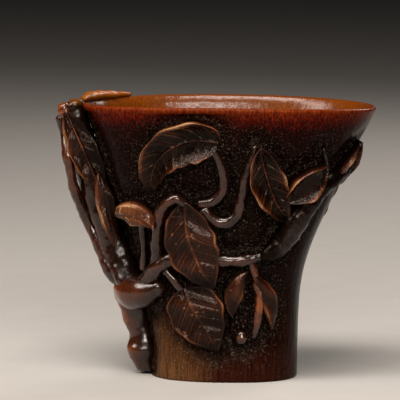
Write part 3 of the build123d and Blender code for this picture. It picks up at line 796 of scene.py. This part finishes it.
def limb_along(name, centres, outward, radii, flatness, gnarl, spacing, material):
    """Limb along a path, grown by the limb tree."""
    centres, outward, radii = rounded_ends(centres, outward, radii)
    mesh = bpy.data.meshes.new(name)
    mesh.from_pydata((centres * MM).tolist(), [(i, i + 1) for i in range(len(centres) - 1)], [])
    store(mesh, "thickness", radii * MM)
    store(mesh, "outward", outward, "FLOAT_VECTOR", "vector")
    return grow(name, mesh, LIMB_TREE, {
        "Flatness": flatness, "Gnarl depth": gnarl * MM, "Gnarl spacing": spacing * MM, "Horn": material})


def limb(node, radius, stations, reach=None, gnarl=0.4, spacing=4.0, amber=0.0):
    """Limb on the wall; a station is its angle, level, thickness and stand-off, the last two as shares."""
    angle, level, thick, stand = np.array(stations, dtype=float).T
    reach = reach or radius
    base, *_, outward = wall_frame(angle, level * CUP_HEIGHT)
    centres = base + outward * (stand * reach * thick)[:, None]
    piece = limb_along(
        "carved_" + node, centres, outward, radius * thick, reach / radius, gnarl, spacing, HORN_BRANCH)
    return settle(piece, HORN_BRANCH, node, amber=amber)


def bud(node, radius, angle, level, lift, amber=0.0):
    """Bud seated on the wall, a little longer than round."""
    base, _, rise, outward = wall_frame(np.array([angle]), np.array([level * CUP_HEIGHT]))
    path = base + outward * lift * radius + np.outer((-1, 0, 1), rise[0]) * radius * BUD_STRETCH
    radii = radius * np.array((BUD_TAPER, 1.0, BUD_TAPER))
    piece = limb_along(
        "carved_" + node, path, np.repeat(outward, len(path), 0), radii, 1.0, BUD_GNARL, BUD_GNARL_SPACING,
        HORN_BRANCH)
    return settle(piece, HORN_BRANCH, node, amber=amber)


def half_width(share, width, widest, blunt):
    """Half width along a leaf: round at the base, widest at the given share and pointed at the tip."""
    bias = math.log(0.5) / math.log(widest)
    return width / 2 * np.sin(np.pi * share ** bias) ** blunt


def leaf(node, rows, on_wall, length, width, widest=0.45, blunt=0.75, amber=0.0, **sizes):
    """Leaf laid flat along its midrib, then carved by the leaf tree."""
    centre, side, outward = rows
    across, step, lift, sunk = LEAF_RING.T
    share = (np.arange(LEAF_ROWS)[:, None] + 0.5) / LEAF_ROWS
    waver = 1 + EDGE_WAVER * np.sin(share * length * EDGE_WAVES + width)
    half = half_width(share, width, widest, blunt) * waver
    ground = centre[:, None] + side[:, None] * (across * half)[..., None]
    normal = np.repeat(outward[:, None], len(across), 1)
    if on_wall:
        ground, *_, normal = wall_frame(*place_of(ground))
    ground = ground + side[:, None] * (step * np.minimum(half / 2, UNDERCUT))[..., None]
    away = np.abs(across) * half
    inset = half - away
    fade = np.clip(away / MIDRIB_FADE, 0, 1) * np.clip(inset / BORDER_FADE, 0, 1)
    fade = fade * np.clip(share * VEIN_FADE_RATE, 0, 1) * np.clip((1 - share) * VEIN_FADE_RATE, 0, 1)
    level = np.clip((centre[:, 2:] - BOWL_FLOOR) / (CUP_HEIGHT - BOWL_FLOOR), 0, 1)
    root = np.minimum(LEAF_ROOT, ROOT_SHARE * (BOWL_WALL + (LIP_THICKNESS - BOWL_WALL) * level))
    fullness = LEAF_TIP_STAND + (1 - LEAF_TIP_STAND) * 2 * half / width
    mesh = bpy.data.meshes.new("carved_" + node)
    mesh.from_pydata(ground.reshape(-1, 3).tolist(), [], tube_faces(LEAF_ROWS, len(across)))
    for name, values in (
            ("share", share), ("across", across), ("away", away), ("inset", inset), ("fullness", fullness),
            ("fade", fade), ("lift", lift), ("sink", sunk * root)):
        store(mesh, name, np.broadcast_to(values, away.shape))
    store(mesh, "outward", normal, "FLOAT_VECTOR", "vector")
    carving_sizes = {name.replace("_", " ").capitalize(): value for name, value in sizes.items()}
    piece = grow("carved_" + node, mesh, LEAF_TREE, {
        "Length": length, "Sway start": width, "Horn": HORN_LEAF, **carving_sizes})
    outward_facing(piece.data)
    return settle(piece, HORN_LEAF, node, amber=amber)


def wall_leaf(node, base, heading, bend, length, width, late=1.0, **detail):
    """Leaf laid on the wall, its midrib turning by the bend on its way to the tip."""
    place = (np.array(base[0], dtype=float), np.array(base[1] * CUP_HEIGHT))
    rows = []
    for step in range(LEAF_ROWS):
        point, around, rise, outward = wall_frame(*place)
        course = math.radians(heading + bend * (step / LEAF_ROWS) ** late)
        ahead = around * math.cos(course) + rise * math.sin(course)
        rows.append((point, np.cross(ahead, outward), outward))
        place = place_of(point + ahead * length / LEAF_ROWS)
    rows = [np.array(column) for column in zip(*rows)]
    return leaf(node, rows, True, length, width, **detail)


def flank_leaf(node, facing, angle, level, out, length, width, **detail):
    """Leaf that hangs down a flank of the handle."""
    share = np.arange(LEAF_ROWS) / LEAF_ROWS
    heights = level * CUP_HEIGHT - length * share
    point, around, _, outward = wall_frame(np.full(LEAF_ROWS, float(angle)), heights)
    far = LIMB_REACH * (out[0] + (out[1] - out[0]) * share)
    centre = point + outward * far[:, None] + around * (facing * LIMB_RADIUS * FLANK_OFFSET)
    return leaf(node, (centre, outward * facing, around * facing), False, length, width, **detail)


# Handle
carving = [
    limb("handle_knot", KNOT_RADIUS, (
        (-88, 0.33, 0.7, 0.6), (-80, 0.325, 1.0, 0.5), (-70, 0.318, 1.06, 0.45), (-61, 0.322, 0.9, 0.35),
        (-53, 0.335, 0.55, 0.2)), gnarl=0.5, spacing=9.0, amber=0.4),
    limb("handle_trunk", TRUNK_RADIUS, (
        (-84, 0.038, 0.75, 0.4), (-85, 0.09, 1.1, 0.45), (-86, 0.155, 0.8, 0.6), (-86, 0.215, 0.85, 0.75),
        (-84, 0.29, 1.0, 0.7), (-78, 0.34, 1.1, 0.5)),
        reach=TRUNK_REACH, gnarl=0.8, spacing=8.0, amber=0.55),
    limb("handle_limb", LIMB_RADIUS, (
        (-74, 0.36, 1.0, 0.55), (-80, 0.43, 0.95, 0.75), (-83, 0.52, 0.92, 0.85), (-84, 0.65, 0.95, 0.85),
        (-84, 0.78, 0.95, 0.9), (-83, 0.9, 0.9, 0.85), (-83, 0.985, 0.7, 0.8)),
        reach=LIMB_REACH, gnarl=0.7, spacing=6.0, amber=0.05),
    bud("handle_bud", HANDLE_BUD_RADIUS, -82, 0.985, 2.6, amber=0.5),
    flank_leaf("handle_upper_leaf", 1, -83, 0.985, (1.2, 0.5), 31.0, 9.4, midrib=0.6, vein=0.25,
               spacing=5.5, quilt=0.2),
    flank_leaf("handle_lower_leaf", 1, -81, 0.75, (0.45, 0.85), 24.0, 6.0, midrib=-0.2, crown=1.0,
               vein=0.12, spacing=5.0, amber=0.2),
    flank_leaf("handle_back_leaf", -1, -85, 0.96, (1.0, 0.8), 36.0, 9.0, midrib=0.5, vein=0.25,
               spacing=5.5, quilt=0.2),
    limb("handle_outer_twig", OUTER_TWIG_RADIUS, (
        (-78, 0.35, 1.3, 2.0), (-81, 0.41, 1.25, 3.0), (-85, 0.5, 1.1, 3.8), (-87, 0.58, 1.0, 4.8),
        (-85, 0.66, 0.95, 5.5), (-81, 0.75, 0.9, 6.0), (-80, 0.83, 0.85, 5.8), (-83, 0.9, 0.8, 5.25),
        (-84, 0.96, 0.75, 5.5)), gnarl=0.5, spacing=6.0, amber=0.2),
]

# Leaf that folds over the rim beside the handle, by angle and thickness
rim_angle, rim_thick = np.array(((-91, 0.35), (-97, 0.85), (-106, 1.1), (-117, 1.0), (-128, 0.5))).T
rim_path = wall(rim_angle, CUP_HEIGHT, LIP_THICKNESS / 2)
carving.append(settle(limb_along(
    "carved_rim_leaf", rim_path, np.repeat([[0.0, 0.0, 1.0]], len(rim_path), 0),
    RIM_LEAF_RADIUS * rim_thick, RIM_LEAF_FLATNESS, gnarl=0.3, spacing=4.0, material=HORN_LEAF),
    HORN_LEAF, "rim_leaf"))

# Leaves of the front
carving += [
    wall_leaf("hood_leaf", (-5, 0.88), 165, 112, 33.0, 13.5, late=1.1, widest=0.33, blunt=0.6, crown=-1.2,
              rim=1.0, border=2.2, right_roll=0.9, left_roll=0.5, midrib=0.5, vein=0.36, spacing=4.6),
    wall_leaf("curled_leaf", (-66, 0.605), 35, -100, 16.0, 7.4, relief=5.0, crown=1.8, rim=0.0, midrib=-0.3,
              vein=0.0, tip=1.0, amber=0.3),
    wall_leaf("centre_leaf", (-26, 0.665), -90, 34, 31.0, 15.8, relief=4.2, crown=0.5, rim=0.4, midrib=0.35,
              vein=0.25, spacing=4.8, quilt=0.25),
    wall_leaf("lower_leaf", (-32, 0.345), -66, 8, 23.0, 17.6, widest=0.35, crown=0.3, midrib=0.3, vein=0.25,
              spacing=4.4, quilt=0.25),
    wall_leaf("upright_leaf", (19, 0.86), -82, 28, 27.0, 10.8, crown=-1.1, rim=0.9, border=1.9,
              right_roll=1.0, left_roll=0.4, midrib=0.5, vein=0.36, spacing=4.2),
    wall_leaf("right_pod", (36, 0.67), 42, 0, 18.0, 8.4, relief=4.6, crown=-1.0, rim=0.8, midrib=0.0,
              vein=0.1),
    wall_leaf("edge_leaf", (64, 0.725), 52, 10, 17.5, 6.2, crown=-0.3, rim=0.6, midrib=-0.4),
]

# Branches of the front
carving += [
    # Right limb: a negative amber darkens its tone, painted shade for its side away from the lamps
    limb("right_limb", RIGHT_LIMB_RADIUS, (
        (27, 0.466, 0.5, 0.6), (36, 0.495, 0.85, 0.5), (43, 0.56, 1.1, 0.4), (49, 0.64, 1.15, 0.3),
        (56, 0.705, 0.9, 0.3), (66, 0.755, 0.7, 0.4), (80, 0.79, 0.55, 0.4), (93, 0.81, 0.4, 0.4),
        (106, 0.815, 0.3, 0.4), (117, 0.8, 0.25, 0.4)), gnarl=0.6, amber=-0.7),
    limb("right_twig", TWIG_RADIUS, ((59, 0.75, 0.8, 0.5), (55, 0.805, 0.65, 0.5), (52, 0.85, 0.5, 0.4)),
         gnarl=0.2),
    limb("fork_branch", FORK_RADIUS, (
        (-62, 0.35, 1.05, 0.5), (-49, 0.417, 1.0, 0.6), (-39, 0.449, 0.9, 0.5), (-29, 0.455, 0.8, 0.3)),
        gnarl=0.5),
    limb("arch_branch", ARCH_RADIUS, (
        (-50, 0.425, 1.1, 0.6), (-47, 0.5, 1.0, 0.7), (-44, 0.575, 1.0, 0.8), (-39, 0.64, 1.05, 0.8),
        (-32, 0.672, 1.0, 0.8), (-25, 0.65, 0.8, 0.7))),
    limb("curled_leaf_twig", TWIG_RADIUS, (
        (-61, 0.41, 1.2, 0.6), (-57, 0.49, 1.0, 0.6), (-54, 0.605, 1.0, 0.6)), gnarl=0.25),
    limb("hood_stalk", STALK_RADIUS, (
        (-9, 0.86, 0.8, 0.7), (-4, 0.805, 0.9, 0.7), (-2, 0.751, 1.0, 0.6), (-3, 0.7, 1.05, 0.6),
        (-9, 0.667, 1.1, 0.6), (-16, 0.656, 1.1, 0.5)), gnarl=0.3),
    limb("middle_branch", BRANCH_RADIUS, (
        (-14, 0.63, 1.0, 0.5), (-8, 0.596, 1.05, 0.6), (1, 0.591, 1.0, 0.6), (7.5, 0.624, 0.95, 0.6),
        (10, 0.682, 0.85, 0.6), (12, 0.762, 0.75, 0.6), (16, 0.855, 0.6, 0.6))),
    limb("lower_branch", BRANCH_RADIUS, (
        (-10, 0.45, 0.9, 0.4), (2, 0.449, 1.0, 0.6), (14, 0.452, 1.0, 0.6), (30, 0.47, 0.8, 0.5))),
    limb("lower_leaf_stalk", STALK_RADIUS, (
        (-48, 0.42, 0.9, 0.6), (-42, 0.39, 0.9, 0.7), (-35, 0.34, 0.8, 0.6)), gnarl=0.3),
]

# Blossom
carving += [
    wall_leaf("left_petal", (18.5, 0.415), 224, 60, 17.5, 5.4, relief=3.0, widest=0.5, crown=1.0, rim=0.0,
              midrib=0.0, vein=0.0, amber=0.1),
    wall_leaf("right_petal", (19.5, 0.415), -46, -48, 22.5, 5.0, relief=2.6, widest=0.5, crown=0.8, rim=0.0,
              midrib=0.0, vein=0.0, amber=0.1),
    limb("blossom_rib", RIB_RADIUS, (
        (20.5, 0.44, 0.8, 0.5), (25, 0.37, 1.0, 0.7), (28, 0.32, 1.05, 0.8), (27.5, 0.235, 1.0, 0.7),
        (25, 0.17, 0.6, 0.5)), amber=0.45),
    bud("blossom_bud", BLOSSOM_BUD_RADIUS, 14.5, 0.166, 0.4),
]

# Seeds set in a spiral, as they grow
seed_turn = np.arange(SEED_COUNT) * GOLDEN_TURN
seed_spread = SEED_SPREAD * np.sqrt(np.arange(SEED_COUNT) / SEED_COUNT)
middle, around, rise, _ = wall_frame(np.array(SEED_PLACE[0]), np.array(SEED_PLACE[1] * CUP_HEIGHT))
seed_points = middle + np.outer(seed_spread * np.cos(seed_turn), around)
seed_points = seed_points + np.outer(seed_spread * np.sin(seed_turn), rise)
seed_mesh = bpy.data.meshes.new("blossom_seeds")
seed_mesh.from_pydata((wall(*place_of(seed_points)) * MM).tolist(), [], [])
carving.append(settle(grow("blossom_seeds", seed_mesh, seed_tree(), {"Horn": HORN_LEAF}), HORN_LEAF))

# Back
carving += [
    limb("back_branch", BACK_BRANCH_RADIUS, (
        (-96, 0.36, 1.1, 0.5), (-112, 0.42, 1.0, 0.5), (-130, 0.49, 0.95, 0.5), (-150, 0.53, 0.9, 0.5),
        (-168, 0.51, 0.8, 0.5)), gnarl=0.5),
    limb("back_twig", STALK_RADIUS, (
        (-156, 0.54, 1.1, 0.4), (-172, 0.6, 1.1, 0.5), (-190, 0.66, 1.0, 0.5), (-207, 0.69, 0.9, 0.5)),
        gnarl=0.3),
    wall_leaf("back_upper_leaf", (-150, 0.56), 78, 24, 33.0, 17.0, crown=0.4, midrib=0.35, spacing=4.8,
              quilt=0.3),
    wall_leaf("back_lower_leaf", (-168, 0.5), -96, 24, 32.0, 17.5, crown=0.4, midrib=0.35, spacing=4.8,
              quilt=0.3),
    wall_leaf("back_side_leaf", (150, 0.66), -78, 30, 30.0, 15.0, crown=-0.7, rim=0.8, midrib=0.3,
              spacing=4.6),
    wall_leaf("side_leaf", (117.5, 0.815), -74, -24, 30.0, 14.0, crown=-0.6, rim=0.7, midrib=0.3,
              spacing=4.6),
]


def cup_rows():
    """Level, inset, share and side of each ring, from under the foot over the lip and down the bowl."""
    half_lip = LIP_THICKNESS / 2
    rows = [(0.0, 0.0, share, 0.0) for share in FOOT_RINGS]
    rows += [(height, 0.0, 1.0, 0.0) for height in np.arange(WALL_START, CUP_HEIGHT - half_lip, WALL_STEP)]
    for turn in np.linspace(0, math.pi, LIP_STEPS):
        inset = half_lip * (1 - math.cos(turn))
        rows.append((CUP_HEIGHT + half_lip * (math.sin(turn) - 1), inset, 1.0, float(turn > math.pi / 2)))
    for share in np.linspace(BOWL_START, 0, BOWL_STEPS):
        height = BOWL_FLOOR + (CUP_HEIGHT - BOWL_FLOOR) * share
        rounding = math.sqrt(1 - (1 - min(1, (height - BOWL_FLOOR) / BOWL_ROUNDING)) ** 2)
        inset = BOWL_WALL + (LIP_THICKNESS - BOWL_WALL) * share
        rows.append((height, inset, BOWL_FLAT + (1 - BOWL_FLAT) * rounding, 1.0))
    rows += [(BOWL_FLOOR, BOWL_WALL, share, 1.0) for share in BOWL_RINGS]
    return np.array(rows)


def cup():
    """Vessel grown by the vessel tree, with the ground cut down round the carving."""
    rows = cup_rows()
    level, inset, share, inside = [np.repeat(column, WALL_TURNS) for column in rows.T]
    turn = np.tile(np.arange(WALL_TURNS) * 2 * math.pi / WALL_TURNS, len(rows))
    points = wall(np.degrees(turn), level, inset)

    raised = [vertices_mm(piece.data) for piece in carving]
    raised = np.concatenate([places[stand_off(places) > CARVING_STAND] for places in raised])
    nearest = KDTree(len(raised))
    for i, place in enumerate(raised):
        nearest.insert(place, i)
    nearest.balance()
    outer = (inside == 0) & (share == 1) & (level < CUP_HEIGHT - LIP_THICKNESS)
    gap = np.full(len(points), FAR_OFF)
    for i in np.flatnonzero(outer):
        gap[i] = nearest.find(points[i])[2]
    bank = np.clip(gap / GROUND_BANK, 0, 1)
    near = np.exp(-(gap / GROUND_REACH) ** 2)
    hollow = bank ** 2 * (3 - 2 * bank) * near

    mesh = bpy.data.meshes.new("carved_cup_body")
    mesh.from_pydata((points * MM).tolist(), [], tube_faces(len(rows), WALL_TURNS)[:-2])
    for name, values in (
            ("turn", turn), ("level", level), ("inset", inset), ("share", share), ("inside", inside),
            ("recess", GROUND_DEPTH * hollow), ("shade", GROUND_SHADE * near)):
        store(mesh, name, values)
    piece = grow("carved_cup_body", mesh, vessel_tree(), {"Horn": HORN_WALL})
    outward_facing(piece.data)
    return settle(piece, HORN_WALL, "cup_body")


def floor():
    """Plain pale floor."""
    # Matt paper: pale grey with a faint cloudiness and no shine
    material, tree, coord = new_material("matt_paper")
    fleck = put(tree, "ShaderNodeTexNoise", {
        "Vector": coord, "Scale": 1 / (PAPER_FLECK * MM), "Detail": 3.0})
    tone = put(tree, "ShaderNodeMix", {
        0: fleck, 6: linear("#95928e"), 7: linear("#9c9995")}, data_type="RGBA")
    shader = put(tree, "ShaderNodeBsdfPrincipled", {"Base Color": tone, "Roughness": 0.85})
    put(tree, "ShaderNodeOutputMaterial", {"Surface": shader})
    corners = [(x * FLOOR_HALF, y * FLOOR_HALF, 0) for x, y in ((-1, -1), (1, -1), (1, 1), (-1, 1))]
    mesh = bpy.data.meshes.new("floor")
    mesh.from_pydata(corners, [], [(0, 1, 2, 3)])
    mesh.materials.append(material)
    new_object("floor", mesh)


def soft_light(name, place, size, power, colour):
    """Soft box that looks at the cup."""
    lamp = bpy.data.lights.new(name, "AREA")
    lamp.shape = "RECTANGLE"
    lamp.size, lamp.size_y = size
    lamp.energy = power
    lamp.color = linear(colour)[:3]
    light = bpy.data.objects.new(name, lamp)
    light.location = place
    aim = Vector(LIGHT_TARGET) - Vector(place)
    light.rotation_euler = aim.to_track_quat("-Z", "Y").to_euler()
    bpy.context.scene.collection.objects.link(light)


def studio():
    """Soft boxes and a dim even surround."""
    soft_light("key", (-0.1, -0.4, 0.95), (0.6, 0.4), 15.0, "#fff4ec")
    soft_light("front", (0.13, -0.91, 0.47), (0.46, 0.12), 6.5, "#fff8f0")
    soft_light("left", (-0.66, -0.42, 0.76), (0.42, 0.42), 7.5, "#fff8f0")
    soft_light("fill", (0.5, 0.8, 0.7), (0.5, 0.4), 5.0, "#fff8f0")
    world = bpy.data.worlds.new("studio")
    world.use_nodes = True
    surround = world.node_tree.nodes["Background"].inputs
    surround["Color"].default_value = linear("#8a8886")
    surround["Strength"].default_value = 0.05
    bpy.context.scene.world = world
    bpy.context.scene.view_settings.view_transform = "Standard"


def camera():
    """Camera at the photograph's viewing angle."""
    rise, roll = math.radians(CAMERA_RISE), math.radians(CAMERA_ROLL)
    back = Vector((0.0, -math.cos(rise), math.sin(rise)))
    right = Vector((1.0, 0.0, 0.0))
    up = back.cross(right)
    across = right * math.cos(roll) + up * math.sin(roll)
    upright = up * math.cos(roll) - right * math.sin(roll)
    lens = bpy.data.cameras.new("camera")
    lens.sensor_width = SENSOR
    lens.lens = SENSOR * CAMERA_DISTANCE / (PHOTO_PIXELS * MM_PER_PIXEL)
    lens.clip_end = CLIP_END
    view = bpy.data.objects.new("camera", lens)
    turn = Matrix((across, upright, back)).transposed().to_4x4()
    view.matrix_world = Matrix.Translation((Vector(CAMERA_TARGET) + back * CAMERA_DISTANCE) * MM) @ turn
    bpy.context.scene.collection.objects.link(view)
    bpy.context.scene.camera = view


cup()
floor()
studio()
camera()
